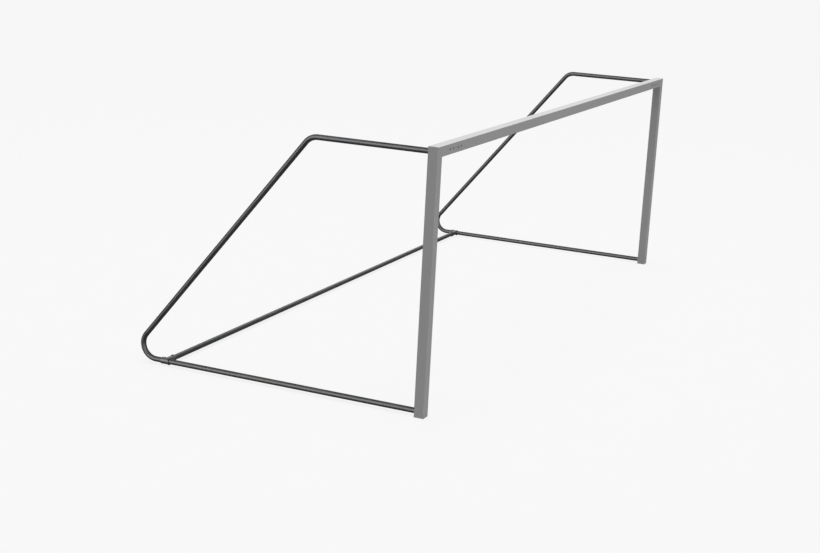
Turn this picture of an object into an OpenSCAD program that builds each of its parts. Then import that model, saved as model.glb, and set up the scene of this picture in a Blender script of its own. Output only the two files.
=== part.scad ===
// Full-size soccer goal frame: a square alloy front frame, two bent side frames, a rear
// ground bar held in pipe tees, and the sleeves, spigots and fasteners that join them.
// Millimetres. +X runs along the crossbar, +Y from the mouth to the back, +Z is up.
// The origin lies on the ground at the middle of the whole frame's footprint.

/* [Goal mouth] */
// Clear width between the posts
mouth_w = 7320; // [4800:10:7320]
// Clear height under the crossbar
mouth_h = 2440; // [2000:10:2440]

/* [Front profile] */
// Outside width of the square posts and crossbar
profile_w = 100; // [90:1:120]
// Wall of the square profile
profile_wall = 3; // [2:0.5:4]
// Outside corner radius of the square profile
profile_r = 5; // [4.5:0.5:8]

/* [Crossbar joints] */
// Clear length of the corner stub, from the post's inner face to the crossbar
stub_len = 305; // [280:5:400]
// Width of the fine seam between a stub and the crossbar
seam = 0.6; // [0.2:0.1:2]
// Length of the sleeve inside each crossbar joint
sleeve_len = 350; // [330:5:400]
// Wall of that sleeve
sleeve_wall = 4; // [3:0.5:5]
// Distance from the seam to the nearer bolt
bolt_offset = 50; // [40:1:55]
// Distance between the two bolts on one side of the seam
bolt_pitch = 80; // [60:1:90]
// Bolt thread diameter
bolt_d = 10; // [8:1:12]
// Bolt length under the head
bolt_len = 20; // [18:1:30]
// Thickness of the tapped strip inside the sleeve
strip_t = 8; // [6:1:10]
// Height of the tapped strip
strip_h = 30; // [24:1:40]

/* [Side frames] */
// Outside diameter of the round tube
tube_d = 54; // [50:0.5:58]
// Wall of the round tube
tube_wall = 3; // [2:0.5:4]
// From the mouth plane to where the axes of the top run and the slope cross
top_corner_y = 1306; // [1200:1:1400]
// From the mouth plane to where the axes of the slope and the ground rail cross
base_corner_y = 3291; // [3200:1:3400]
// Height of the ground rail's axis
rail_z = 50; // [45:1:60]
// Centreline radius of the upper bend
top_bend_r = 160; // [120:5:200]
// Centreline radius of the lower bend
base_bend_r = 150; // [120:5:170]
// Distance up the slope from the lower bend to the joint between the two tubes
slope_joint = 420; // [300:10:800]
// Length of the sleeve inside a tube joint
tube_sleeve_len = 240; // [200:5:300]
// Length of the spigots that stand on the back of the posts
spigot_len = 120; // [100:5:160]
// Wall of the spigots and the tube sleeves
spigot_wall = 5; // [4:0.5:6]
// Distance from a tube's end to its fixing screw
screw_inset = 60; // [40:1:80]
// Fixing screw diameter
screw_d = 8; // [6:1:10]

/* [Rear bar and tees] */
// From the mouth plane to the rear bar's axis
bar_y = 2849; // [2800:1:2880]
// Outside diameter of the tee's sockets
tee_d = 66; // [62:1:70]
// Outside diameter of the bead around a socket's mouth
bead_d = 74; // [70:1:80]
// Width of that bead
bead_w = 9; // [6:1:12]
// Tee length in front of the rear bar's axis
tee_front = 32; // [30:1:45]
// Tee length behind the rear bar's axis
tee_rear = 58; // [40:1:65]
// Tee length along the rear bar, from the ground rail's axis
tee_branch = 122; // [110:1:140]
// Diameter of the bosses around the set screws
boss_d = 20; // [16:1:24]
// Set screw diameter
set_screw_d = 10; // [8:1:12]

/* [Feet and plates] */
// Depth of the plug in a post's foot
plug_h = 30; // [20:1:60]
// Thickness of the plug's bottom plate
plug_t = 4; // [3:0.5:6]
// Width of the blank plate on a post's inner face
plate_w = 80; // [60:1:84]
// Height of the blank plate
plate_h = 50; // [40:1:80]
// Thickness of the blank plate
plate_t = 1; // [0.5:0.1:2]
// Height of the blank plate's centre above the ground
plate_z = 1304; // [1000:1:1600]

/* [Hidden] */
$fn = 64;
FRAME_PAINT = "#9a9a9a";
TUBE_PAINT = "#2c2d2f";
CASTING = "#3a3b3d";
STEEL = "#55585c";
PLASTIC = "#1d1e20";
PLATE = "#868686";

// Running clearances
slip = 0.3;          // between a square profile and what slides inside it
tube_slip = 0.2;     // between a round tube and what slides inside or over it
hole_slip = 1;       // extra diameter of a clearance hole
thread_slip = 0.1;   // extra diameter of a threaded hole
end_gap = 0.5;       // between a tube's cut end and the face it meets
bend_overrun = 5;    // degrees a half bend runs on before it is trimmed

// Front frame
outer_w = mouth_w + 2*profile_w;
outer_h = mouth_h + profile_w;
half_w = outer_w/2;
post_x = half_w - profile_w/2;
bar_z = outer_h - profile_w/2;
seam_x = half_w - profile_w - stub_len;
bore_w = profile_w - 2*profile_wall;
bore_r = max(profile_r - profile_wall, 1);
sleeve_w = bore_w - 2*slip;
sleeve_face_y = profile_wall + slip + sleeve_wall;
bolt_head_d = 1.8*bolt_d;
bolt_head_h = 0.55*bolt_d;
bolt_hex_d = 0.6*bolt_d;
bolt_offsets = [-bolt_offset - bolt_pitch, -bolt_offset, bolt_offset, bolt_offset + bolt_pitch];
strip_len = sleeve_len - 20;
plug_w = bore_w - 2*slip;
plate_r = 4;

// Round tubes
tube_r = tube_d/2;
inner_d = tube_d - 2*tube_wall;
spigot_d = inner_d - 2*tube_slip;
screw_head_d = 1.75*screw_d;
screw_head_h = 0.55*screw_d;
screw_hex_d = 0.6*screw_d;
screw_tip = tube_wall + tube_slip + spigot_wall + 2;

// Side frame outline; a centre is [distance behind the mouth plane, height]
drop = bar_z - rail_z;
slope_angle = atan2(drop, base_corner_y - top_corner_y);
base_angle = 180 - slope_angle;
top_tangent = top_bend_r*tan(slope_angle/2);
base_tangent = base_bend_r*tan(base_angle/2);
top_centre = [top_corner_y - top_tangent, bar_z - top_bend_r];
base_centre = [base_corner_y - base_tangent, rail_z + base_bend_r];
run_start_y = profile_w + end_gap;
top_run = top_centre.x - run_start_y;
base_run = base_centre.x - run_start_y;
slope_run = drop/sin(slope_angle) - top_tangent - base_tangent;
lower_slope = slope_joint - seam/2;
upper_slope = slope_run - slope_joint - seam/2;

// Rear bar and tees
bar_end = tube_r + 6;
branch_floor = tube_r + 4;
socket_d = tube_d + 2*tube_slip;
boss_r = tee_d/2 + 4;
run_screw_y = bar_y + 22;
branch_screw = 94;
set_screw_tip = tube_r + tube_slip;
set_screw_top = boss_r + 4;
set_screw_hex_d = 0.6*set_screw_d;

// Footprint, so that the origin falls in the middle of it
front_y = -bolt_head_h;
back_y = base_centre.x + base_bend_r + tube_r;
mid_y = (front_y + back_y)/2;

// ---- placing ----

// The left half as drawn, and its mirror image
module left() translate([0, -mid_y, 0]) children();
module right() mirror([1, 0, 0]) translate([0, -mid_y, 0]) children();

// Turns a drawing of the side frame, x = depth and y = height, upright over the left post,
// with its z towards the middle of the goal
module side_plane() translate([-post_x, 0, 0]) rotate([90, 0, 90]) children();

// Puts a screw, drawn along +z from a tube's axis, in the top of a side frame tube
module from_above() rotate([-90, 0, 0]) children();

// ---- shared shapes ----

module rounded_square(w, r) {
    square([w, w - 2*r], center = true);
    square([w - 2*r, w], center = true);
    for (sx = [-1, 1], sy = [-1, 1])
        translate([sx*(w/2 - r), sy*(w/2 - r)])
            circle(r);
}

module square_ring(w, r, wall) {
    difference() {
        rounded_square(w, r);
        rounded_square(w - 2*wall, max(r - wall, 1));
    }
}

// A square hollow bar along X at crossbar height, from x0 to x1
module crossbar_bar(x0, x1, w, r, wall)
    translate([x0, profile_w/2, bar_z])
        rotate([0, 90, 0])
            linear_extrude(x1 - x0)
                square_ring(w, r, wall);

// Everything on the crossbar's side of the left corner's 45 degree joint
module beyond_mitre()
    translate([-half_w + profile_w, 0, mouth_h])
        rotate([0, 45, 0])
            translate([-2*profile_w, -profile_w, 0])
                cube([4*outer_h, 3*profile_w, 4*stub_len]);

// Straight hollow tube along +z
module tube(len)
    difference() {
        cylinder(h = len, d = tube_d);
        translate([0, 0, -1])
            cylinder(h = len + 2, d = inner_d);
    }

// A straight tube and half of the bend it runs into, about the origin, up to the plane y = 0
module half_bent_tube(r, angle, len)
    difference() {
        rotate([0, 0, -angle/2]) {
            rotate_extrude(angle = angle/2 + bend_overrun)
                translate([r, 0])
                    difference() {
                        circle(d = tube_d);
                        circle(d = inner_d);
                    }
            translate([r, 0, 0])
                rotate([90, 0, 0])
                    tube(len);
        }
        translate([0, 0, -tube_d])
            cube([2*r, 2*r, 2*tube_d]);
    }

// Tube bent through angle about the origin, the middle of its bend on +x, with straight
// runs of len_a on the clockwise side and len_b on the other
module bent_tube(r, angle, len_a, len_b) {
    half_bent_tube(r, angle, len_a);
    mirror([0, 1, 0])
        half_bent_tube(r, angle, len_b);
}

// Short liner tube along +z
module liner(len)
    difference() {
        cylinder(h = len, d = spigot_d);
        translate([0, 0, -1])
            cylinder(h = len + 2, d = spigot_d - 2*spigot_wall);
    }

// Domed head with a hex socket, standing on z = 0
module button_head(d, h, hex_d) {
    dome_r = (d*d/4 + h*h)/(2*h);
    difference() {
        intersection() {
            cylinder(h = h, d = d);
            translate([0, 0, h - dome_r])
                sphere(dome_r);
        }
        translate([0, 0, 0.45*h])
            cylinder(h = h, d = hex_d, $fn = 6);
    }
}

module bolt() {
    button_head(bolt_head_d, bolt_head_h, bolt_hex_d);
    translate([0, 0, -bolt_len])
        cylinder(h = bolt_len, d = bolt_d);
}

// Screw in a tube wall: its head rests on the tube, and z = 0 is the tube's axis
module tube_screw() {
    translate([0, 0, tube_r])
        button_head(screw_head_d, screw_head_h, screw_hex_d);
    translate([0, 0, tube_r - screw_tip])
        cylinder(h = screw_tip, d = screw_d);
}

// Drill for that screw, through everything on one side of a tube's axis
module tube_drill(d)
    cylinder(h = tube_d, d = d);

// ---- front frame, left side ----

module post()
    color(FRAME_PAINT)
        difference() {
            translate([-post_x, profile_w/2, 0])
                linear_extrude(outer_h)
                    square_ring(profile_w, profile_r, profile_wall);
            beyond_mitre();
        }

module corner_stub()
    color(FRAME_PAINT)
        difference() {
            intersection() {
                crossbar_bar(-half_w, -seam_x - seam/2, profile_w, profile_r, profile_wall);
                beyond_mitre();
            }
            bolt_drills(bolt_d + hole_slip);
        }

// Both sides of the crossbar are drilled like the stubs
module crossbar_tube()
    color(FRAME_PAINT)
        difference() {
            crossbar_bar(-seam_x + seam/2, seam_x - seam/2, profile_w, profile_r, profile_wall);
            bolt_drills(bolt_d + hole_slip);
            mirror([1, 0, 0])
                bolt_drills(bolt_d + hole_slip);
        }

module at_bolts()
    for (dx = bolt_offsets)
        translate([-seam_x + dx, 0, bar_z])
            rotate([90, 0, 0])
                children();

module bolt_drills(d)
    at_bolts()
        translate([0, 0, -profile_w/2])
            cylinder(h = profile_w, d = d);

module splice_sleeve()
    color(STEEL)
        difference() {
            crossbar_bar(-seam_x - sleeve_len/2, -seam_x + sleeve_len/2,
                         sleeve_w, bore_r + slip, sleeve_wall);
            bolt_drills(bolt_d + hole_slip);
        }

module tapped_strip()
    color(STEEL)
        difference() {
            translate([-seam_x - strip_len/2, sleeve_face_y, bar_z - strip_h/2])
                cube([strip_len, strip_t, strip_h]);
            bolt_drills(bolt_d + thread_slip);
        }

module crossbar_bolts()
    color(STEEL)
        at_bolts()
            bolt();

module foot_plug()
    color(PLASTIC)
        translate([-post_x, profile_w/2, 0]) {
            linear_extrude(plug_t)
                rounded_square(plug_w, bore_r + slip);
            translate([0, 0, plug_t])
                linear_extrude(plug_h - plug_t)
                    square_ring(plug_w, bore_r + slip, 3);
        }

module blank_plate()
    color(PLATE)
        translate([-half_w + profile_w, profile_w/2, plate_z])
            rotate([90, 0, 90])
                linear_extrude(plate_t) {
                    square([plate_w, plate_h - 2*plate_r], center = true);
                    square([plate_w - 2*plate_r, plate_h], center = true);
                    for (sx = [-1, 1], sy = [-1, 1])
                        translate([sx*(plate_w/2 - plate_r), sy*(plate_h/2 - plate_r)])
                            circle(plate_r);
                }

// ---- side frame, left side ----

module upper_stay()
    color(TUBE_PAINT)
        side_plane()
            difference() {
                translate([top_centre.x, top_centre.y, 0])
                    rotate([0, 0, 90 - slope_angle/2])
                        bent_tube(top_bend_r, slope_angle, upper_slope, top_run);
                at_top_screw()
                    tube_drill(screw_d + hole_slip);
                at_slope_screw(1)
                    tube_drill(screw_d + hole_slip);
            }

module ground_rail()
    color(TUBE_PAINT)
        side_plane()
            difference() {
                translate([base_centre.x, base_centre.y, 0])
                    rotate([0, 0, -slope_angle/2])
                        bent_tube(base_bend_r, base_angle, base_run, lower_slope);
                at_base_screw()
                    tube_drill(screw_d + hole_slip);
                at_slope_screw(-1)
                    tube_drill(screw_d + hole_slip);
            }

// The slope's axis from the lower bend upwards is this frame's +y
module up_slope()
    translate([base_centre.x, base_centre.y, 0])
        rotate([0, 0, 90 - slope_angle])
            translate([base_bend_r, 0, 0])
                children();

module at_top_screw()
    translate([profile_w + screw_inset, bar_z, 0])
        children();

module at_base_screw()
    translate([profile_w + screw_inset, rail_z, 0])
        children();

// Above the joint is 1 and below it is -1
module at_slope_screw(way)
    up_slope()
        translate([0, slope_joint + way*screw_inset, 0])
            children();

module top_spigot()
    color(STEEL)
        side_plane()
            difference() {
                translate([profile_w, bar_z, 0])
                    rotate([0, 90, 0])
                        liner(spigot_len);
                at_top_screw()
                    tube_drill(screw_d + thread_slip);
            }

module base_spigot()
    color(STEEL)
        side_plane()
            difference() {
                translate([profile_w, rail_z, 0])
                    rotate([0, 90, 0])
                        liner(spigot_len);
                at_base_screw()
                    tube_drill(screw_d + thread_slip);
            }

module stay_sleeve()
    color(STEEL)
        side_plane()
            difference() {
                up_slope()
                    translate([0, slope_joint - tube_sleeve_len/2, 0])
                        rotate([-90, 0, 0])
                            liner(tube_sleeve_len);
                for (way = [-1, 1])
                    at_slope_screw(way)
                        tube_drill(screw_d + thread_slip);
            }

module stay_screws()
    color(STEEL)
        side_plane() {
            at_top_screw()
                tube_screw();
            at_base_screw()
                tube_screw();
            for (way = [-1, 1])
                at_slope_screw(way)
                    tube_screw();
        }

// ---- tee, left side ----

// Along the ground rail, from depth y0 to y1
module run_cylinder(y0, y1, d)
    translate([y0, rail_z, 0])
        rotate([0, 90, 0])
            cylinder(h = y1 - y0, d = d);

// Along the rear bar, from z0 to z1 off the ground rail's axis
module branch_cylinder(z0, z1, d)
    translate([bar_y, rail_z, z0])
        cylinder(h = z1 - z0, d = d);

module at_set_screws() {
    translate([run_screw_y, rail_z, 0])
        from_above()
            children();
    translate([bar_y, rail_z, branch_screw])
        from_above()
            children();
}

module tee()
    color(CASTING)
        side_plane()
            difference() {
                union() {
                    run_cylinder(bar_y - tee_front, bar_y + tee_rear, tee_d);
                    run_cylinder(bar_y - tee_front, bar_y - tee_front + bead_w, bead_d);
                    branch_cylinder(0, tee_branch, tee_d);
                    branch_cylinder(tee_branch - bead_w, tee_branch, bead_d);
                    at_set_screws()
                        translate([0, 0, tube_r + 2])
                            cylinder(h = boss_r - tube_r - 2, d = boss_d);
                }
                run_cylinder(bar_y - tee_front - 1, bar_y + tee_rear + 1, socket_d);
                branch_cylinder(branch_floor, tee_branch + 1, socket_d);
                at_set_screws()
                    cylinder(h = 2*boss_r, d = set_screw_d + thread_slip);
            }

module tee_set_screws()
    color(STEEL)
        side_plane()
            at_set_screws()
                difference() {
                    translate([0, 0, set_screw_tip])
                        cylinder(h = set_screw_top - set_screw_tip, d = set_screw_d);
                    translate([0, 0, set_screw_top - 5])
                        cylinder(h = 6, d = set_screw_hex_d, $fn = 6);
                }

// ---- rear bar ----

module along_bar(x0)
    translate([x0, bar_y, rail_z])
        rotate([0, 90, 0])
            children();

module at_bar_screw()
    translate([-screw_inset, bar_y, rail_z])
        rotate([-90, 0, 0])
            children();

module rear_bar_half()
    color(TUBE_PAINT)
        difference() {
            along_bar(-post_x + bar_end)
                difference() {
                    cylinder(h = post_x - bar_end - seam/2, d = tube_d);
                    translate([0, 0, -1])
                        cylinder(h = post_x, d = inner_d);
                }
            at_bar_screw()
                tube_drill(screw_d + hole_slip);
        }

module bar_sleeve()
    color(STEEL)
        difference() {
            along_bar(-tube_sleeve_len/2)
                liner(tube_sleeve_len);
            for (m = [0, 1])
                mirror([m, 0, 0])
                    at_bar_screw()
                        tube_drill(screw_d + thread_slip);
        }

module bar_screws()
    color(STEEL)
        for (m = [0, 1])
            mirror([m, 0, 0])
                at_bar_screw()
                    tube_screw();

left() post();  // left_post
right() post();  // right_post
left() corner_stub();  // left_corner_stub
right() corner_stub();  // right_corner_stub
left() crossbar_tube();  // crossbar
left() splice_sleeve();  // left_splice_sleeve
right() splice_sleeve();  // right_splice_sleeve
left() tapped_strip();  // left_tapped_strip
right() tapped_strip();  // right_tapped_strip
left() crossbar_bolts();  // left_crossbar_bolts
right() crossbar_bolts();  // right_crossbar_bolts
left() foot_plug();  // left_foot_plug
right() foot_plug();  // right_foot_plug
left() blank_plate();  // left_blank_plate
right() blank_plate();  // right_blank_plate
left() top_spigot();  // left_top_spigot
right() top_spigot();  // right_top_spigot
left() base_spigot();  // left_base_spigot
right() base_spigot();  // right_base_spigot
left() upper_stay();  // left_upper_stay
right() upper_stay();  // right_upper_stay
left() ground_rail();  // left_ground_rail
right() ground_rail();  // right_ground_rail
left() stay_sleeve();  // left_stay_sleeve
right() stay_sleeve();  // right_stay_sleeve
left() stay_screws();  // left_stay_screws
right() stay_screws();  // right_stay_screws
left() tee();  // left_tee
right() tee();  // right_tee
left() tee_set_screws();  // left_tee_set_screws
right() tee_set_screws();  // right_tee_set_screws
left() rear_bar_half();  // rear_bar_left
right() rear_bar_half();  // rear_bar_right
left() bar_sleeve();  // rear_bar_sleeve
left() bar_screws();  // rear_bar_screws
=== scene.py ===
"""A full-size soccer goal frame: finished tubes, profiles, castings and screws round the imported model.

The goal stands on z = 0. +X runs along the crossbar, +Y from the goal mouth to the rear. Metres.
"""

import math

import bmesh
import bpy
from mathutils import Matrix, Vector


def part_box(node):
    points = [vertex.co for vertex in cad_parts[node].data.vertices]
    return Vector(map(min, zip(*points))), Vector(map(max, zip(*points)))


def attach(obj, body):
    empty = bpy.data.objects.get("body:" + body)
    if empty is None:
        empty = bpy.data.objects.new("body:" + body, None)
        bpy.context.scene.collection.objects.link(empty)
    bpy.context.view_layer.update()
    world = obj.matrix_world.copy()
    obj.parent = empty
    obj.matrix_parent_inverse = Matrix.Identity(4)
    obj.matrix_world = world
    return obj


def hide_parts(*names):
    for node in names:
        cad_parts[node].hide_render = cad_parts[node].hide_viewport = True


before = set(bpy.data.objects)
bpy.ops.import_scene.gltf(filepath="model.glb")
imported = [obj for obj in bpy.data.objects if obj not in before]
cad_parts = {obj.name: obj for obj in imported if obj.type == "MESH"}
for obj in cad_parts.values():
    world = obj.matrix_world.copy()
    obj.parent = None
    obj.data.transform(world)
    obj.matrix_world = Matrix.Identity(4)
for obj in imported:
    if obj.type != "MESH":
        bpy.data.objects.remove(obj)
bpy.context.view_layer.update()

MM = 0.001
BODY = "root"
RIGHT = Vector((1, 0, 0))
REAR = Vector((0, 1, 0))
UP = Vector((0, 0, 1))
SIDES = {"left": -1, "right": 1}

# ---- sizes read from the frame ----

post_low, post_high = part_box("left_post")
stay_low, stay_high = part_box("left_upper_stay")
rail_low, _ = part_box("left_ground_rail")
bar_low, bar_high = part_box("rear_bar_left")

PROFILE = post_high.x - post_low.x
MOUTH_Y = post_low.y
TOP_Z = post_high.z
HALF_WIDTH = -post_low.x
BAR_Z = TOP_Z - PROFILE / 2
POST_X = HALF_WIDTH - PROFILE / 2

TUBE_R = (stay_high.x - stay_low.x) / 2
TUBE_START_Y = stay_low.y
RAIL_Z = rail_low.z + TUBE_R
REAR_BAR_Y = (bar_low.y + bar_high.y) / 2

# ---- sizes of the design that a box doesn't give ----

PROFILE_WALL = 3 * MM
PROFILE_CORNER = 5 * MM
TUBE_WALL = 3 * MM
TOP_CORNER = Vector((0, MOUTH_Y + 1306 * MM, BAR_Z))
BASE_CORNER = Vector((0, MOUTH_Y + 3291 * MM, RAIL_Z))
TOP_BEND_R = 160 * MM
BASE_BEND_R = 150 * MM
SLOPE_JOINT = 420 * MM
SEAM = 0.6 * MM


# ---- node trees ----


def find(sockets, key):
    """The socket with that index, identifier or name."""
    if isinstance(key, int):
        return sockets[key]
    for socket in sockets:
        if socket.identifier == key:
            return socket
    return sockets[key]


class Value:
    """A node's output that Python's operators work on, each adding a Math node."""

    def __init__(self, tree, socket):
        self.tree = tree
        self.socket = socket

    def output(self, key):
        return Value(self.tree, find(self.socket.node.outputs, key))

    def maths(self, operation, *others):
        inputs = dict(enumerate((self, *others)))
        return self.tree.node("ShaderNodeMath", {"operation": operation}, inputs)

    def reflected(self, operation, other):
        inputs = {0: other, 1: self}
        return self.tree.node("ShaderNodeMath", {"operation": operation}, inputs)

    def __add__(self, other):
        return self.maths("ADD", other)

    def __radd__(self, other):
        return self.reflected("ADD", other)

    def __sub__(self, other):
        return self.maths("SUBTRACT", other)

    def __rsub__(self, other):
        return self.reflected("SUBTRACT", other)

    def __mul__(self, other):
        return self.maths("MULTIPLY", other)

    def __rmul__(self, other):
        return self.reflected("MULTIPLY", other)

    def __truediv__(self, other):
        return self.maths("DIVIDE", other)

    def __mod__(self, other):
        return self.maths("MODULO", other)

    def __lt__(self, other):
        return self.maths("LESS_THAN", other)

    def __gt__(self, other):
        return self.maths("GREATER_THAN", other)

    def ranged(self, low, high):
        """0 at low, 1 at high, straight between them and level outside."""
        inputs = {"Value": self, "From Min": low, "From Max": high}
        return self.tree.node("ShaderNodeMapRange", {"clamp": True}, inputs)


class Tree:
    """A node tree, shader or geometry, that nodes are added to by one method."""

    def __init__(self, tree):
        self.tree = tree

    def put(self, socket, value):
        if isinstance(value, Value):
            self.tree.links.new(value.socket, socket)
        else:
            socket.default_value = value

    def node(self, kind, settings=None, inputs=None, output=0):
        made = self.tree.nodes.new(kind)
        for name, value in (settings or {}).items():
            setattr(made, name, value)
        for key, value in (inputs or {}).items():
            self.put(find(made.inputs, key), value)
        return Value(self, find(made.outputs, output)) if len(made.outputs) else made

    def vector(self, operation, *inputs, output=0):
        settings = {"operation": operation}
        return self.node("ShaderNodeVectorMath", settings, dict(enumerate(inputs)), output)

    def scaled(self, vector, factor):
        inputs = {"Vector": vector, "Scale": factor}
        return self.node("ShaderNodeVectorMath", {"operation": "SCALE"}, inputs)


# ---- finishes ----

COAT_IOR = 1.5
PLASTIC_IOR = 1.46


class Finish(Tree):
    """A material round one Principled shader, on object coordinates or on an attribute."""

    def __init__(self, name, constants=None, attribute=None):
        self.material = bpy.data.materials.new(name)
        self.material.use_nodes = True
        super().__init__(self.material.node_tree)
        self.tree.nodes.clear()
        self.surface = self.node("ShaderNodeBsdfPrincipled", inputs=constants)
        self.node("ShaderNodeOutputMaterial", inputs={"Surface": self.surface})
        if attribute:
            self.place = self.attribute(attribute, "Vector")
        else:
            self.place = self.node("ShaderNodeTexCoord", output="Object")

    def attribute(self, name, output="Fac"):
        return self.node("ShaderNodeAttribute", {"attribute_name": name}, output=output)

    def noise(self, scale, detail=2.0, roughness=0.5, distortion=0.0):
        """Noise from 0 to 1. A scale with three numbers stretches it."""
        where = self.place
        if not isinstance(scale, (int, float)):
            where = self.vector("MULTIPLY", where, scale)
            scale = 1.0
        inputs = {
            "Vector": where,
            "Scale": scale,
            "Detail": detail,
            "Roughness": roughness,
            "Distortion": distortion,
        }
        return self.node("ShaderNodeTexNoise", inputs=inputs)

    def blend(self, share, low, high):
        """The colour low where share is 0, and high where it is 1."""
        settings = {"data_type": "RGBA"}
        inputs = {"Factor_Float": share, "A_Color": low, "B_Color": high}
        return self.node("ShaderNodeMix", settings, inputs, "Result_Color")

    def relief(self, height, depth, under=None):
        """The normal of a surface whose height runs from 0 to depth, on top of another relief."""
        inputs = {"Height": height, "Distance": depth}
        if under:
            inputs["Normal"] = under
        return self.node("ShaderNodeBump", inputs=inputs)

    def set(self, **values):
        names = {
            "colour": "Base Color",
            "glow": "Emission Color",
            "roughness": "Roughness",
            "normal": "Normal",
        }
        for name, value in values.items():
            self.put(find(self.surface.socket.node.inputs, names[name]), value)
        return self.material


def grey(level, warmth=0.0):
    """A neutral colour of that linear level, a little warmer or cooler."""
    return (level * (1 + warmth), level, level * (1 - warmth), 1.0)


def grey_coat(name, along):
    """Satin grey powder coat on an extruded profile; the die lines run along the given axis."""
    made = Finish(name, {"IOR": COAT_IOR})
    drawn_out = [420.0, 420.0, 420.0]
    drawn_out["XYZ".index(along)] = 0.7
    cloud = made.noise(0.8, 4.0, 0.55)
    fleck = made.noise(330.0, 2.0)
    die_lines = made.noise(drawn_out, 1.0)
    peel = made.noise(520.0, 1.0)
    scuff = made.noise((9.0, 9.0, 26.0), 6.0, 0.7).ranged(0.66, 0.74)
    height = made.node("ShaderNodeSeparateXYZ", inputs={0: made.place}, output="Z")
    # Darker, warmer and rougher patches near the foot, fading out over the lowest 0.22 m
    darker_low_patches = (1 - height.ranged(0.0, 0.22)) * made.noise(38.0, 6.0, 0.65).ranged(0.42, 0.75)
    worn = made.attribute("worn_edge") * made.noise(14.0, 5.0, 0.65).ranged(0.48, 0.68)

    tone = 0.5 + (cloud - 0.5) * 0.7 + (fleck - 0.5) * 0.35
    colour = made.blend(tone, grey(0.218), grey(0.258))
    colour = made.blend(scuff * 0.3, colour, grey(0.31))
    colour = made.blend(worn * 0.45, colour, grey(0.40))
    colour = made.blend(darker_low_patches * 0.5, colour, grey(0.15, 0.10))
    roughness = 0.44 + (cloud - 0.5) * 0.16 + (fleck - 0.5) * 0.10
    normal = made.relief(die_lines, 0.02 * MM)
    normal = made.relief(peel, 0.035 * MM, normal)
    return made.set(
        colour=colour,
        roughness=roughness - worn * 0.10 + darker_low_patches * 0.2,
        normal=normal,
    )


def black_coat(name):
    """Black coat on round steel tube, mottled along its length, with rubbed and dusty patches."""
    made = Finish(name, {"IOR": COAT_IOR}, attribute="tube_place")
    patch = made.noise((12.0, 12.0, 3.2), 3.0, 0.55)
    tint = made.noise((5.0, 5.0, 1.7), 2.0)
    streak = made.noise((34.0, 34.0, 6.0), 3.0, 0.6)
    grain = made.noise(640.0, 2.0)
    sag = made.noise((18.0, 18.0, 6.5), 2.0)
    rub = made.noise((26.0, 26.0, 7.0), 4.0, 0.6, distortion=0.4).ranged(0.58, 0.74)

    tone = (patch * 0.65 + streak * 0.35).ranged(0.32, 0.68)
    cool = made.blend(tone, grey(0.007, -0.14), grey(0.024, -0.10))
    warm = made.blend(tone, grey(0.007, 0.08), grey(0.024, 0.12))
    colour = made.blend(tint.ranged(0.38, 0.62), cool, warm)
    colour = made.blend(rub * 0.3, colour, grey(0.11))
    normal = made.relief(sag, 0.5 * MM)
    normal = made.relief(grain, 0.006 * MM, normal)
    return made.set(
        colour=colour,
        roughness=0.32 + patch * 0.20 + (grain - 0.5) * 0.06,
        normal=normal,
    )


def cast_coat(name):
    """Black coat over a sand casting."""
    made = Finish(name, {"IOR": COAT_IOR})
    skin = made.noise(520.0, 5.0, 0.65)
    pits = made.noise(190.0, 3.0, 0.6)
    cloud = made.noise(28.0, 4.0, 0.6)
    colour = made.blend(cloud.ranged(0.3, 0.7), grey(0.014), grey(0.040))
    colour = made.blend(skin.ranged(0.55, 0.75) * 0.3, colour, grey(0.09, 0.03))
    normal = made.relief(pits, 0.14 * MM)
    normal = made.relief(skin, 0.05 * MM, normal)
    return made.set(colour=colour, roughness=0.28 + cloud * 0.16, normal=normal)


def plated_steel(name, low, high, roughness, warmth=0.0):
    """Plated or bare steel whose grey runs from low to high, cloudy, with fine rubbed marks."""
    made = Finish(name, {"Metallic": 1.0})
    cloud = made.noise(60.0, 4.0, 0.6)
    grain = made.noise(1500.0, 3.0, 0.6)
    marks = made.noise((900.0, 900.0, 40.0), 3.0, 0.6)
    colour = made.blend(cloud * 0.7 + grain * 0.3, grey(low, warmth), grey(high, warmth))
    normal = made.relief(grain, 0.03 * MM)
    normal = made.relief(marks, 0.02 * MM, normal)
    return made.set(colour=colour, roughness=roughness + (cloud - 0.5) * 0.2, normal=normal)


def moulded_plastic(name):
    """Black moulded plastic with a spark-eroded grain."""
    made = Finish(name, {"IOR": PLASTIC_IOR})
    grain = made.noise(900.0, 3.0, 0.6)
    cloud = made.noise(45.0, 3.0)
    colour = made.blend(cloud, grey(0.018), grey(0.034))
    return made.set(
        colour=colour,
        roughness=0.46 + (grain - 0.5) * 0.2,
        normal=made.relief(grain, 0.06 * MM),
    )


def blank_label(name):
    """Plain grey satin plate, brushed along its length."""
    made = Finish(name, {"IOR": COAT_IOR})
    brush = made.noise((900.0, 60.0, 1400.0), 3.0, 0.6)
    cloud = made.noise(50.0, 4.0)
    colour = made.blend(brush * 0.5 + cloud * 0.5, grey(0.20), grey(0.25))
    return made.set(
        colour=colour,
        roughness=0.42 + (brush - 0.5) * 0.25,
        normal=made.relief(brush, 0.03 * MM),
    )


def aluminium_weld(name):
    """Coated weld bead, slightly glossier than the flats beside it."""
    made = Finish(name, {"IOR": COAT_IOR})
    cloud = made.noise(220.0, 4.0, 0.6)
    colour = made.blend(cloud, grey(0.25), grey(0.32))
    return made.set(
        colour=colour,
        roughness=0.36 + (cloud - 0.5) * 0.2,
        normal=made.relief(made.noise(700.0, 2.0), 0.05 * MM),
    )


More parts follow.
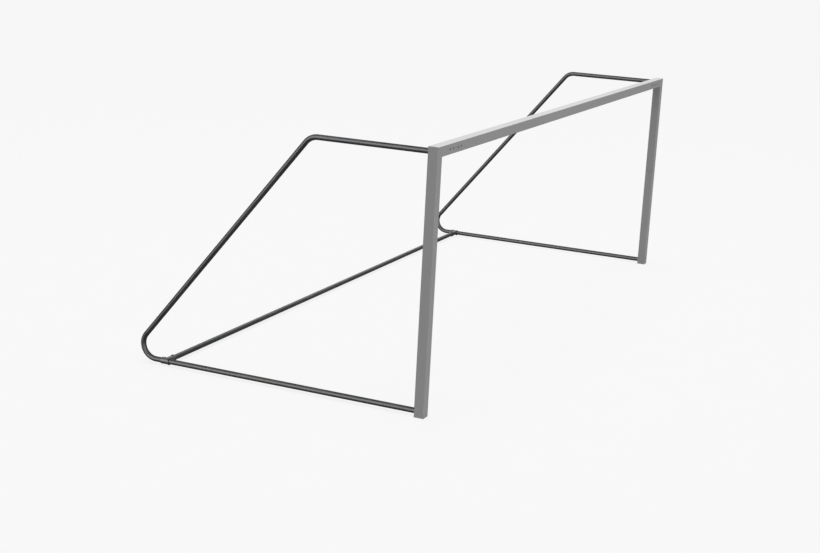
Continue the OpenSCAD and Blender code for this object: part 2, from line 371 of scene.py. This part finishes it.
LEVEL_COAT = grey_coat("grey_coat_level", "X")
UPRIGHT_COAT = grey_coat("grey_coat_upright", "Z")
TUBE_COAT = black_coat("black_tube_coat")
CASTING = cast_coat("black_casting_coat")
DARK_ZINC = plated_steel("dark_zinc", low=0.27, high=0.40, roughness=0.36)
BRIGHT_ZINC = plated_steel("bright_zinc", low=0.42, high=0.60, roughness=0.30, warmth=0.01)
BARE_STEEL = plated_steel("bare_steel", low=0.38, high=0.52, roughness=0.36, warmth=0.01)
PLASTIC = moulded_plastic("black_plastic_grain")
LABEL = blank_label("blank_label_grey")
WELD = aluminium_weld("coated_weld")


# ---- geometry trees ----

# Points nearer than this are one point
DOUBLE = 0.002 * MM
TOUCHING = 0.01 * MM

# Degrees between two faces past which the edge between them stays crisp
CRISP_SWEPT = 35.0
CRISP_SOLID = 40.0

KINDS = {
    "geometry": "NodeSocketGeometry",
    "size": "NodeSocketFloat",
    "count": "NodeSocketInt",
    "vector": "NodeSocketVector",
    "material": "NodeSocketMaterial",
    "object": "NodeSocketObject",
}


class Maker(Tree):
    """A geometry tree with named inputs, that turns a start mesh into a finished one."""

    def __init__(self, name, inputs):
        super().__init__(bpy.data.node_groups.new(name, "GeometryNodeTree"))
        self.names = {}
        for label, kind in {"Geometry": "geometry", **inputs}.items():
            socket = self.tree.interface.new_socket(label, in_out="INPUT", socket_type=KINDS[kind])
            self.names[label] = socket.identifier
        self.tree.interface.new_socket("Geometry", in_out="OUTPUT", socket_type=KINDS["geometry"])
        self.given = self.node("NodeGroupInput")

    def input(self, label):
        return self.given.output(self.names[label])

    def ends_with(self, geometry, material):
        """Realizes instances, sets the material and closes the tree."""
        real = self.node("GeometryNodeRealizeInstances", inputs={"Geometry": geometry})
        smooth = self.node("GeometryNodeSetShadeSmooth", inputs={"Geometry": real})
        inputs = {"Geometry": smooth, "Material": material}
        painted = self.node("GeometryNodeSetMaterial", inputs=inputs)
        self.node("NodeGroupOutput", inputs={0: painted})

    def make(self, name, start, values):
        """A plain mesh object of what the tree makes from the start mesh."""
        holder = bpy.data.objects.new(name + "_start", start)
        bpy.context.scene.collection.objects.link(holder)
        modifier = holder.modifiers.new("tree", "NODES")
        modifier.node_group = self.tree
        for label, value in values.items():
            modifier[self.names[label]] = value
        made = plain_copy(name, holder)
        holder.modifiers.remove(modifier)
        bpy.data.objects.remove(holder)
        return finished(made, CRISP_SWEPT)


def plain_copy(name, source):
    """A new object with the evaluated mesh of another."""
    graph = bpy.context.evaluated_depsgraph_get()
    graph.update()
    mesh = bpy.data.meshes.new_from_object(
        source.evaluated_get(graph), preserve_all_data_layers=True, depsgraph=graph
    )
    mesh.name = name
    made = bpy.data.objects.new(name, mesh)
    bpy.context.scene.collection.objects.link(made)
    return made


def finished(made, crisp_angle):
    """Joins doubles, turns normals outwards and keeps edges over that angle crisp."""
    shape = bmesh.new()
    shape.from_mesh(made.data)
    bmesh.ops.remove_doubles(shape, verts=shape.verts, dist=DOUBLE)
    bmesh.ops.recalc_face_normals(shape, faces=shape.faces)
    shape.to_mesh(made.data)
    shape.free()
    made.data.shade_smooth()
    made.data.set_sharp_from_angle(angle=math.radians(crisp_angle))
    return made


def polyline(name, points):
    """A mesh of the straight edges from each point to the next."""
    mesh = bpy.data.meshes.new(name)
    edges = [(i, i + 1) for i in range(len(points) - 1)]
    mesh.from_pydata([tuple(p) for p in points], edges, [])
    return mesh


def solids_of(node):
    """The (lowest, highest) corners of each separate solid of a CAD node, from left to right."""
    shape = bmesh.new()
    shape.from_mesh(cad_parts[node].data)
    bmesh.ops.remove_doubles(shape, verts=shape.verts, dist=TOUCHING)
    left = set(shape.verts)
    boxes = []
    while left:
        reached = [left.pop()]
        for vertex in reached:
            near = {edge.other_vert(vertex) for edge in vertex.link_edges} & left
            left -= near
            reached.extend(near)
        low = Vector([min(v.co[i] for v in reached) for i in range(3)])
        high = Vector([max(v.co[i] for v in reached) for i in range(3)])
        boxes.append((low, high))
    shape.free()
    return sorted(boxes, key=lambda box: tuple(box[0]))


def bent_line(tree):
    """The start mesh as a curve with rounded corners, and the number of the curve's points."""
    line = tree.node("GeometryNodeMeshToCurve", inputs={"Mesh": tree.input("Geometry")})
    inputs = {"Curve": line, "Count": tree.input("Bend points"), "Radius": tree.input("Bend radius")}
    bent = tree.node("GeometryNodeFilletCurve", {"mode": "POLY"}, inputs)
    settings = {"component": "CURVE"}
    inputs = {"Geometry": bent}
    return bent, tree.node("GeometryNodeAttributeDomainSize", settings, inputs, "Point Count")


def marked_tube(tree, tube, angle, length):
    """Stores on each point where it lies on the tube: round it in x and y, and along it in z."""
    parts = {
        "X": angle.maths("COSINE") * tree.input("Outer radius"),
        "Y": angle.maths("SINE") * tree.input("Outer radius"),
        "Z": length,
    }
    lie = tree.node("ShaderNodeCombineXYZ", inputs=parts)
    settings = {"data_type": "FLOAT_VECTOR", "domain": "POINT"}
    inputs = {"Geometry": tube, "Name": "tube_place", "Value": lie}
    return tree.node("GeometryNodeStoreNamedAttribute", settings, inputs)


def tube_maker():
    """A hollow round tube along a bent line in one plane, with its cut ends broken.

    A grid is wrapped round the line. Its rows run up the outside, back down the bore, and close.
    """
    tree = Maker(
        "bent_tube",
        {
            "Outer radius": "size",
            "Wall": "size",
            "Bend radius": "size",
            "Bend points": "count",
            "Sides": "count",
            "End chamfer": "size",
            "Plane normal": "vector",
            "Material": "material",
        },
    )
    bent, stations = bent_line(tree)

    # One row more than there are rings, because the last row lies on the first and closes the tube
    rows = stations * 2 + 3
    columns = tree.input("Sides") + 1
    sizes = {"Vertices X": columns, "Vertices Y": rows}
    grid = tree.node("GeometryNodeMeshGrid", inputs=sizes)
    index = tree.node("GeometryNodeInputIndex")
    row = (index % rows) % (stations * 2 + 2)
    column = (index / rows).maths("FLOOR")

    # Outside rows 0 and stations + 1 are the broken edges of the two ends
    inside = row > stations + 1.5
    outward = 1 - inside
    up_row = (row - 1).maths("MAXIMUM", 0).maths("MINIMUM", stations - 1)
    station = outward * up_row + inside * (stations * 2 + 1 - row)
    at_end = outward * ((row < 0.5) + (row > stations + 0.5))
    chamfer = tree.input("End chamfer")
    step_in = outward * chamfer * (row.maths("COMPARE", 1, 0.1) - row.maths("COMPARE", stations, 0.1))
    radius = tree.input("Outer radius") - inside * tree.input("Wall") - at_end * chamfer

    def sampled(kind, data_type, output=0):
        field = tree.node(kind, output=output)
        inputs = {"Geometry": bent, "Value": field, "Index": station}
        return tree.node("GeometryNodeSampleIndex", {"data_type": data_type}, inputs)

    point = sampled("GeometryNodeInputPosition", "FLOAT_VECTOR")
    tangent = sampled("GeometryNodeInputTangent", "FLOAT_VECTOR")
    length = sampled("GeometryNodeSplineParameter", "FLOAT", "Length")
    angle = column / tree.input("Sides") * math.tau
    across = tree.input("Plane normal")
    over = tree.vector("CROSS_PRODUCT", tangent, across)
    ring = tree.vector(
        "ADD",
        tree.scaled(across, angle.maths("COSINE") * radius),
        tree.scaled(over, angle.maths("SINE") * radius),
    )
    centre = tree.vector("ADD", point, tree.scaled(tangent, step_in))
    place = tree.vector("ADD", centre, ring)
    wrapped = tree.node("GeometryNodeSetPosition", inputs={"Geometry": grid, "Position": place})
    marked = marked_tube(tree, wrapped, angle, length)
    inputs = {"Geometry": marked, "Distance": TOUCHING}
    closed = tree.node("GeometryNodeMergeByDistance", inputs=inputs)
    tree.ends_with(closed, tree.input("Material"))
    return tree


def random_number(tree, low, high):
    """A number between low and high for each point, from the tree's own Seed input."""
    inputs = {"Min_001": low, "Max_001": high, "Seed": tree.input("Seed")}
    settings = {"data_type": "FLOAT"}
    return tree.node("FunctionNodeRandomValue", settings, inputs, "Value_001")


def bead_maker():
    """A weld bead: overlapping ripples along a line, a little uneven."""
    tree = Maker(
        "weld_bead",
        {
            "Ripples": "count",
            "Ripple radius": "size",
            "Ripple thickness": "size",
            "Unevenness": "size",
            "Seed": "count",
            "Material": "material",
        },
    )
    line = tree.node("GeometryNodeMeshToCurve", inputs={"Mesh": tree.input("Geometry")})
    inputs = {"Curve": line, "Count": tree.input("Ripples")}
    even = tree.node("GeometryNodeResampleCurve", inputs=inputs)
    radius = tree.input("Ripple radius")
    round_one = {"Segments": 14, "Rings": 8, "Radius": radius}
    ripple = tree.node("GeometryNodeMeshUVSphere", inputs=round_one)
    tangent = tree.node("GeometryNodeInputTangent")
    turn = tree.node("FunctionNodeAlignRotationToVector", {"axis": "Z"}, {"Vector": tangent})
    uneven = tree.input("Unevenness")
    size = random_number(tree, 1 - uneven, 1 + uneven)
    flat = tree.input("Ripple thickness") / radius
    scale = tree.node("ShaderNodeCombineXYZ", inputs={"X": size, "Y": size, "Z": flat})
    inputs = {"Points": even, "Instance": ripple, "Rotation": turn, "Scale": scale}
    tree.ends_with(tree.node("GeometryNodeInstanceOnPoints", inputs=inputs), tree.input("Material"))
    return tree


def screw_maker():
    """One screw put on each point, all facing one way and each turned as its tightening left it."""
    inputs = {"Screw": "object", "Facing": "vector", "Seed": "count", "Material": "material"}
    tree = Maker("screws", inputs)
    inputs = {"Object": tree.input("Screw")}
    screw = tree.node("GeometryNodeObjectInfo", inputs=inputs, output="Geometry")
    inputs = {"Vector": tree.input("Facing")}
    turn = tree.node("FunctionNodeAlignRotationToVector", {"axis": "Z"}, inputs)
    round_z = tree.node("ShaderNodeCombineXYZ", inputs={"Z": random_number(tree, 0.0, math.tau)})
    spin = tree.node("FunctionNodeEulerToRotation", inputs={0: round_z})
    inputs = {"Rotation": turn, "Rotate By": spin}
    tightened = tree.node("FunctionNodeRotateRotation", {"rotation_space": "LOCAL"}, inputs)
    inputs = {"Points": tree.input("Geometry"), "Instance": screw, "Rotation": tightened}
    tree.ends_with(tree.node("GeometryNodeInstanceOnPoints", inputs=inputs), tree.input("Material"))
    return tree


TUBE = tube_maker()
BEAD = bead_maker()
SCREWS = screw_maker()


# Pieces that have lights of their own: all the tubes and castings, and the rear bar with its tees
ROUND_WORK = []
REAR_WORK = []


def add_piece(made, slot, *nodes):
    """Puts a finished piece on the frame's one body and hides the CAD nodes it stands for; the slot is
    not used.
    """
    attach(made, BODY)
    if nodes:
        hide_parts(*nodes)


# ---- round tubes ----

TUBE_SIDES = 64
END_CHAMFER = 0.6 * MM
TOP_BEND_POINTS = 28
BASE_BEND_POINTS = 56


def add_tube(name, points, plane_normal, bend_r=TOP_BEND_R, bend_points=TOP_BEND_POINTS):
    """A tube along those points, rounded at each one between the ends; a straight tube has none."""
    values = {
        "Outer radius": TUBE_R,
        "Wall": TUBE_WALL,
        "Bend radius": bend_r,
        "Bend points": bend_points,
        "Sides": TUBE_SIDES,
        "End chamfer": END_CHAMFER,
        "Plane normal": plane_normal,
        "Material": TUBE_COAT,
    }
    made = TUBE.make(name + "_tube", polyline(name, points), values)
    ROUND_WORK.append(made)
    add_piece(made, "tube_paint", name)
    return made


def add_side_tubes(side, sign):
    """The upper stay and the ground rail of one side, which meet part of the way up the slope."""
    x = RIGHT * POST_X * sign
    slope = (TOP_CORNER - BASE_CORNER).normalized()
    turn = math.acos(slope.dot(-REAR))
    base_tangent = BASE_BEND_R * math.tan((math.pi - turn) / 2)
    joint = BASE_CORNER + slope * (base_tangent + SLOPE_JOINT)
    top_start = Vector((0, TUBE_START_Y, BAR_Z))
    base_end = Vector((0, TUBE_START_Y, RAIL_Z))
    upper = [x + top_start, x + TOP_CORNER, x + joint + slope * SEAM / 2]
    lower = [x + joint - slope * SEAM / 2, x + BASE_CORNER, x + base_end]
    add_tube(side + "_upper_stay", upper, RIGHT)
    add_tube(side + "_ground_rail", lower, RIGHT, BASE_BEND_R, BASE_BEND_POINTS)


def add_rear_bar(side):
    """One half of the rear bar, drawn from its outer end to the middle joint."""
    low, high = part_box("rear_bar_" + side)
    ends = sorted((low.x, high.x), key=abs)
    points = [Vector((x, REAR_BAR_Y, RAIL_Z)) for x in reversed(ends)]
    REAR_WORK.append(add_tube("rear_bar_" + side, points, UP))


for side, sign in SIDES.items():
    add_side_tubes(side, sign)
    add_rear_bar(side)


# ---- square profiles ----

CORNER_STEPS = 7
EDGE_BREAK = 0.4 * MM
# A narrow strip beside each rounded edge, which keeps the shading of the flats flat
SUPPORT = 0.5 * MM


def rounded_square(width, corner):
    """Points round a rounded square, each as (u, v, wear), with wear 1 in the middle of a corner."""
    points = []
    for quarter in range(4):
        turn = math.pi / 2 * quarter
        before = Vector((math.cos(turn), math.sin(turn)))
        after = Vector((-before.y, before.x))
        centre = (width / 2 - corner) * (before + after)
        points.append((*(centre + corner * before - SUPPORT * after), 0.0))
        for step in range(CORNER_STEPS + 1):
            share = step / CORNER_STEPS
            angle = share * math.pi / 2
            wear = 1 - abs(2 * share - 1)
            rim = corner * (before * math.cos(angle) + after * math.sin(angle))
            points.append((*(centre + rim), wear))
        points.append((*(centre + corner * after - SUPPORT * before), 0.0))
    return points


def square_bar(name, centre, axis, across, over, start, end, material):
    """A hollow rounded-square bar. start and end give the cut's place on the axis at a point (u, v)."""
    shape = bmesh.new()
    wear = shape.verts.layers.float.new("worn_edge")
    break_edge = (PROFILE - 2 * EDGE_BREAK, PROFILE_CORNER - EDGE_BREAK)
    full = (PROFILE, PROFILE_CORNER)
    bore = (PROFILE - 2 * PROFILE_WALL, PROFILE_CORNER - PROFILE_WALL)
    rows = [
        (break_edge, start, 0.0),
        (full, start, EDGE_BREAK),
        (full, start, EDGE_BREAK + SUPPORT),
        (full, end, -EDGE_BREAK - SUPPORT),
        (full, end, -EDGE_BREAK),
        (break_edge, end, 0.0),
        (bore, end, 0.0),
        (bore, start, 0.0),
    ]
    rings = []
    for (width, corner), cut, offset in rows:
        ring = []
        for u, v, worn in rounded_square(width, corner):
            along = cut(u, v) + offset
            vertex = shape.verts.new(centre + axis * along + across * u + over * v)
            vertex[wear] = worn if width > bore[0] else 0.0
            ring.append(vertex)
        rings.append(ring)
    for ring, following in zip(rings, rings[1:] + rings[:1]):
        for i, vertex in enumerate(ring):
            j = (i + 1) % len(ring)
            shape.faces.new((vertex, ring[j], following[j], following[i]))
    mesh = bpy.data.meshes.new(name)
    shape.to_mesh(mesh)
    shape.free()
    mesh.materials.append(material)
    made = bpy.data.objects.new(name, mesh)
    bpy.context.scene.collection.objects.link(made)
    return finished(made, CRISP_SOLID)


def square(place):
    """A straight cut at that place on the axis."""
    return lambda u, v: place


def add_front_frame():
    """The two posts, their corner stubs and the crossbar between them."""
    bar_y = MOUTH_Y + PROFILE / 2
    bar_centre = Vector((0, bar_y, BAR_Z))
    low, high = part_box("crossbar")
    for side, sign in SIDES.items():
        foot = Vector((POST_X * sign, bar_y, 0))
        # The mitre runs from the outer top corner to the inner corner under the crossbar
        post_top = lambda u, v, sign=sign: TOP_Z - PROFILE / 2 + u * sign
        post = square_bar(
            side + "_post_profile", foot, UP, RIGHT, REAR, square(0.0), post_top, UPRIGHT_COAT
        )
        add_piece(post, "front_paint", side + "_post")

        outwards = RIGHT * sign
        stub_start = square(high.x + SEAM)
        stub_end = lambda u, v: POST_X + v
        stub = square_bar(
            side + "_corner_profile", bar_centre, outwards, REAR, UP, stub_start, stub_end, LEVEL_COAT
        )
        add_piece(stub, "front_paint", side + "_corner_stub")
    bar = square_bar(
        "crossbar_profile", bar_centre, RIGHT, REAR, UP, square(low.x), square(high.x), LEVEL_COAT
    )
    add_piece(bar, "front_paint", "crossbar")


def add_weld(side, sign):
    """The bead left in the inner corner under the crossbar; the outer faces are ground flush."""
    inset = 5 * MM
    x = (HALF_WIDTH - PROFILE) * sign
    z = TOP_Z - PROFILE
    sunk = 0.6 * MM
    front = Vector((x - sunk * sign, MOUTH_Y + inset, z - sunk))
    back = Vector((front.x, MOUTH_Y + PROFILE - inset, front.z))
    values = {
        "Ripples": 48,
        "Ripple radius": 3.4 * MM,
        "Ripple thickness": 2.0 * MM,
        "Unevenness": 0.10,
        "Seed": 3 + sign,
        "Material": WELD,
    }
    made = BEAD.make(side + "_corner_weld", polyline("weld", [front, back]), values)
    add_piece(made, "front_paint")


add_front_frame()
for side, sign in SIDES.items():
    add_weld(side, sign)


# ---- cast tees ----

RUN_R = 33 * MM
BEAD_R = 37 * MM
BEAD_W = 9 * MM
BOSS_R = 10 * MM
BOSS_TOP = 37 * MM
SOCKET_R = TUBE_R + 0.2 * MM
BRANCH_FLOOR = TUBE_R + 4 * MM
BOSS_FOOT = TUBE_R + 2 * MM
SET_SCREW_R = 5 * MM
THREAD_GAP = 0.05 * MM
THREAD_FOOT = 0.9 * TUBE_R
THREAD_TOP = 1.2 * BOSS_TOP
CASTING_GRID = 1.3 * MM
ROD_SIDES = 72


def add_rod(shape, start, end, radius):
    """Adds a round rod between two points."""
    axis = end - start
    turn = UP.rotation_difference(axis.normalized()).to_matrix().to_4x4()
    place = Matrix.Translation((start + end) / 2) @ turn
    bmesh.ops.create_cone(
        shape,
        cap_ends=True,
        segments=ROD_SIDES,
        radius1=radius,
        radius2=radius,
        depth=axis.length,
        matrix=place,
    )


def rods_object(name, rods):
    """An object of separate round rods, each as (start, end, radius)."""
    shape = bmesh.new()
    for start, end, radius in rods:
        add_rod(shape, start, end, radius)
    mesh = bpy.data.meshes.new(name)
    shape.to_mesh(mesh)
    shape.free()
    made = bpy.data.objects.new(name, mesh)
    bpy.context.scene.collection.objects.link(made)
    return made


def apply_modifier(made, kind, settings):
    """A plain copy of an object with one modifier applied; the first object is removed."""
    modifier = made.modifiers.new(kind.lower(), kind)
    for name, value in settings.items():
        setattr(modifier, name, value)
    name = made.name
    made.name = name + "_before"
    after = plain_copy(name, made)
    bpy.data.objects.remove(made)
    return after


def tee_rods(side, sign):
    """The rods that a tee's outside is made of, and the rods that are bored out of it."""
    low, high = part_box(side + "_tee")
    axis = Vector((POST_X * sign, REAR_BAR_Y, RAIL_Z))
    inwards = RIGHT * -sign
    front = Vector((axis.x, low.y, RAIL_Z))
    back = Vector((axis.x, high.y, RAIL_Z))
    mouth = Vector((high.x if sign < 0 else low.x, REAR_BAR_Y, RAIL_Z))
    rods = [
        (front, back, RUN_R),
        (front, front + REAR * BEAD_W, BEAD_R),
        (axis, mouth, RUN_R),
        (mouth - inwards * BEAD_W, mouth, BEAD_R),
    ]
    bores = [
        (front - REAR * BEAD_W, back + REAR * BEAD_W, SOCKET_R),
        (axis + inwards * BRANCH_FLOOR, mouth + inwards * BEAD_W, SOCKET_R),
    ]
    for screw_low, screw_high in solids_of(side + "_tee_set_screws"):
        screw = (screw_low + screw_high) / 2
        base = Vector((screw.x, screw.y, RAIL_Z))
        rods.append((base + UP * BOSS_FOOT, base + UP * BOSS_TOP, BOSS_R))
        bores.append((base + UP * THREAD_FOOT, base + UP * THREAD_TOP, SET_SCREW_R + THREAD_GAP))
    return rods, bores


def add_tee(side, sign):
    """A casting that clamps the rear bar to the ground rail: cast outside, bored inside."""
    rods, bores = tee_rods(side, sign)
    made = rods_object(side + "_tee_casting", rods)
    made = apply_modifier(made, "REMESH", {"mode": "VOXEL", "voxel_size": CASTING_GRID})
    made = apply_modifier(made, "SMOOTH", {"factor": 0.5, "iterations": 5})
    cutter = rods_object("bores", bores)
    settings = {"operation": "DIFFERENCE", "solver": "EXACT", "object": cutter}
    made = apply_modifier(made, "BOOLEAN", settings)
    bpy.data.objects.remove(cutter)
    made.data.materials.clear()
    made.data.materials.append(CASTING)
    finished(made, CRISP_SOLID)
    ROUND_WORK.append(made)
    REAR_WORK.append(made)
    add_piece(made, "tee_casting", side + "_tee")


for side, sign in SIDES.items():
    add_tee(side, sign)


# ---- screws ----

TURNED_SIDES = 36
DOME_STEPS = 8
# The hex socket, and the broken edge at its mouth
HEX_TO_SHANK = 0.6
HEX_TO_HEAD = 0.62
HEX_BREAK = 0.25 * MM
HEX_FLARE = 1.08
# How much of a button head's radius is flat on top, and of its height is domed
FLAT_SHARE = 0.52
DOME_SHARE = 0.82


def turned_screw(name, outline, hex_r, hex_depth):
    """A screw with its head's top at z = 0, from its outline of (radius, height) and its hex socket."""
    shape = bmesh.new()

    def ring(radius, z, hexagonal=False):
        vertices = []
        for i in range(TURNED_SIDES):
            angle = math.tau * i / TURNED_SIDES
            reach = radius
            if hexagonal:
                within = (angle + math.pi / 6) % (math.pi / 3) - math.pi / 6
                reach = radius * math.cos(math.pi / 6) / math.cos(within)
            vertices.append(shape.verts.new((reach * math.cos(angle), reach * math.sin(angle), z)))
        return vertices

    rings = [
        ring(hex_r, -hex_depth, True),
        ring(hex_r, -HEX_BREAK, True),
        ring(hex_r * HEX_FLARE, 0.0),
        *(ring(radius, z) for radius, z in outline),
    ]
    for upper, lower in zip(rings, rings[1:]):
        for i, vertex in enumerate(upper):
            j = (i + 1) % TURNED_SIDES
            shape.faces.new((vertex, upper[j], lower[j], lower[i]))
    shape.faces.new(rings[0])
    shape.faces.new(rings[-1])
    bmesh.ops.recalc_face_normals(shape, faces=shape.faces)
    mesh = bpy.data.meshes.new(name)
    shape.to_mesh(mesh)
    shape.free()
    return bpy.data.objects.new(name, mesh)


def button_head_screw(name, head_r, head_h, shank_r, length):
    """Domed head with a hex socket, on a shank with a broken end."""
    flat = FLAT_SHARE * head_r
    dome = []
    for step in range(DOME_STEPS + 1):
        angle = math.pi / 2 * (1 - step / DOME_STEPS)
        radius = flat + (head_r - flat) * math.cos(angle)
        z = -DOME_SHARE * head_h * (1 - math.sin(angle))
        dome.append((radius, z))
    rim_break = 0.2 * MM
    end_break = 1 * MM
    under = [
        (head_r, -head_h + rim_break),
        (head_r - rim_break, -head_h),
        (shank_r, -head_h),
        (shank_r, -length + end_break),
        (shank_r - end_break, -length),
    ]
    return turned_screw(name, dome + under, HEX_TO_SHANK * shank_r, HEX_TO_HEAD * head_h)


def set_screw(name, radius, length):
    """Headless screw with a hex socket, and both its ends broken."""
    top_break = 0.8 * MM
    end_break = 1.2 * MM
    outline = [
        (radius - top_break, 0.0),
        (radius, -top_break),
        (radius, -length + end_break),
        (radius - end_break, -length),
    ]
    return turned_screw(name, outline, HEX_TO_SHANK * radius, radius)


def add_screws(name, material, screw, facing, seed):
    """One screw where each solid of the CAD node is, its top on the side of the box it faces."""
    points = []
    for low, high in solids_of(name):
        reach = abs((high - low).dot(facing)) / 2
        points.append((low + high) / 2 + facing * reach)
    values = {"Screw": screw, "Facing": facing, "Seed": seed, "Material": material}
    start = bpy.data.meshes.new(name)
    start.from_pydata([tuple(p) for p in points], [], [])
    add_piece(SCREWS.make(name + "_turned", start, values), "dark_bolts", name)


def screw_length(node, axis):
    """How long the CAD node's first screw is, head and all, along the axis it lies on."""
    low, high = solids_of(node)[0]
    return (high - low).dot(axis)


bolt_length = screw_length("left_crossbar_bolts", REAR)
screw_reach = screw_length("rear_bar_screws", REAR)
crossbar_bolt = button_head_screw(
    "bolt", head_r=9 * MM, head_h=5.5 * MM, shank_r=5 * MM, length=bolt_length
)
tube_screw = button_head_screw(
    "screw", head_r=7 * MM, head_h=4.4 * MM, shank_r=4 * MM, length=screw_reach
)
clamp_screw = set_screw("set_screw", SET_SCREW_R, screw_length("left_tee_set_screws", UP))

for seed, (side, sign) in enumerate(SIDES.items(), 1):
    inwards = RIGHT * -sign
    add_screws(side + "_crossbar_bolts", DARK_ZINC, crossbar_bolt, -REAR, seed)
    add_screws(side + "_stay_screws", DARK_ZINC, tube_screw, inwards, seed)
    add_screws(side + "_tee_set_screws", BRIGHT_ZINC, clamp_screw, UP, seed)
add_screws("rear_bar_screws", DARK_ZINC, tube_screw, REAR, seed=5)
for screw in (crossbar_bolt, tube_screw, clamp_screw):
    bpy.data.objects.remove(screw)


# ---- CAD nodes that keep their shape ----

CARRIED_OVER = {
    "splice_sleeve": BARE_STEEL,
    "tapped_strip": BARE_STEEL,
    "foot_plug": PLASTIC,
    "blank_plate": LABEL,
    "top_spigot": BARE_STEEL,
    "base_spigot": BARE_STEEL,
    "stay_sleeve": BARE_STEEL,
}


def paint(node, material):
    """Gives a CAD node's own mesh a finish."""
    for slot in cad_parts[node].material_slots:
        slot.material = material


for side in SIDES:
    for node, material in CARRIED_OVER.items():
        paint(f"{side}_{node}", material)
paint("rear_bar_sleeve", BARE_STEEL)


# ---- floor, light and camera ----

FLOOR_GAP = 0.5 * MM
FLOOR_SIZE = 600.0
FLOOR_GLOW = 0.857
FLOOR_FAR_SHARE = 0.982
FLOOR_FADE = (4.0, 30.0)
BACKGROUND = grey(0.93)
SKY_SEEN = 1.0
SKY_FILL = 0.25
SKY_GLOSS = 0.27


def add_floor():
    """A pale sheet under the goal, a little dimmer far away."""
    mesh = bpy.data.meshes.new("floor")
    half = FLOOR_SIZE / 2
    corners = [(x * half, y * half, -FLOOR_GAP) for x, y in ((-1, -1), (1, -1), (1, 1), (-1, 1))]
    mesh.from_pydata(corners, [], [(0, 1, 2, 3)])
    # Lit from within like a light table, so that shadows on it stay faint
    dull = {"Roughness": 1.0, "Specular IOR Level": 0.0, "Emission Strength": FLOOR_GLOW}
    made = Finish("pale_floor", dull)
    made.material.cycles.emission_sampling = "NONE"
    speckle = made.noise(2.0, 2.0)
    away = made.vector("LENGTH", made.place, output="Value").ranged(*FLOOR_FADE)
    glow = made.blend(away, grey(1.0), grey(FLOOR_FAR_SHARE))
    made.set(colour=made.blend(speckle, grey(0.023), grey(0.025)), glow=glow)
    mesh.materials.append(made.material)
    floor = bpy.data.objects.new("floor", mesh)
    bpy.context.scene.collection.objects.link(floor)
    floor.visible_glossy = False


def add_sun(name, towards, strength, angle, diffuse=True, glossy=True):
    """A soft light from far off in that direction, spread over that angle."""
    data = bpy.data.lights.new(name, "SUN")
    data.energy = strength
    data.angle = math.radians(angle)
    light = bpy.data.objects.new(name, data)
    bpy.context.scene.collection.objects.link(light)
    light.rotation_mode = "QUATERNION"
    light.rotation_quaternion = Vector(towards).to_track_quat("Z", "Y")
    light.visible_diffuse = diffuse
    light.visible_glossy = glossy
    return light


def shine_on(pieces, light):
    """Keeps a light to those pieces."""
    group = bpy.data.collections.new(light.name + "_falls_on")
    for piece in pieces:
        group.objects.link(piece)
    light.light_linking.receiver_collection = group


def add_world():
    """Pale all round as seen, much dimmer as a fill light and in gloss."""
    world = bpy.data.worlds.new("studio")
    bpy.context.scene.world = world
    world.use_nodes = True
    tree = Tree(world.node_tree)
    tree.tree.nodes.clear()
    seen = tree.node("ShaderNodeBackground", inputs={"Color": BACKGROUND, "Strength": SKY_SEEN})
    fill = tree.node("ShaderNodeBackground", inputs={"Color": BACKGROUND, "Strength": SKY_FILL})
    gloss = tree.node("ShaderNodeBackground", inputs={"Color": BACKGROUND, "Strength": SKY_GLOSS})
    ray = tree.node("ShaderNodeLightPath", output="Is Camera Ray")
    glossy = ray.output("Is Glossy Ray")
    indirect = tree.node("ShaderNodeMixShader", inputs={0: glossy, 1: fill, 2: gloss})
    both = tree.node("ShaderNodeMixShader", inputs={0: ray, 1: indirect, 2: seen})
    tree.node("ShaderNodeOutputWorld", inputs={"Surface": both})


CAMERA_LENS = 64.8
CAMERA_FROM_CORNER = Vector((-11.897, -5.063, 4.581))
CAMERA_AIM = Vector((0.0, 0.302, 0.304))
CAMERA_ROLL = 2.98
CAMERA_REACH = 1000.0


def add_camera():
    """Stands off the left front corner, two metres above the crossbar, and leans slightly."""
    corner = Vector((-HALF_WIDTH, MOUTH_Y, 0))
    place = corner + CAMERA_FROM_CORNER
    data = bpy.data.cameras.new("camera")
    data.lens = CAMERA_LENS
    data.clip_end = CAMERA_REACH
    camera = bpy.data.objects.new("camera", data)
    bpy.context.scene.collection.objects.link(camera)
    aim = (CAMERA_AIM - place).to_track_quat("-Z", "Y").to_matrix().to_4x4()
    roll = Matrix.Rotation(math.radians(CAMERA_ROLL), 4, "Z")
    camera.matrix_world = Matrix.Translation(place) @ aim @ roll
    bpy.context.scene.camera = camera


add_floor()
add_world()
add_sun("overhead", (0.0, 0.0, 1.0), strength=9.8, angle=45, glossy=False)
add_sun("front_fill", (0.0, -1.0, 0.35), strength=1.08, angle=90, glossy=False)
side_key = add_sun("side_key", (-0.83, 0.44, 0.26), strength=4.9, angle=58, diffuse=False)
front_glint = add_sun("front_glint", (-0.60, -0.72, 0.25), strength=3.6, angle=60, diffuse=False)
far_rim = add_sun("far_rim", (0.87, 0.22, 0.44), strength=0.55, angle=40, diffuse=False)
shine_on(ROUND_WORK, side_key)
shine_on(ROUND_WORK, front_glint)
shine_on(REAR_WORK, far_rim)
add_camera()
bpy.context.scene.view_settings.view_transform = "Standard"
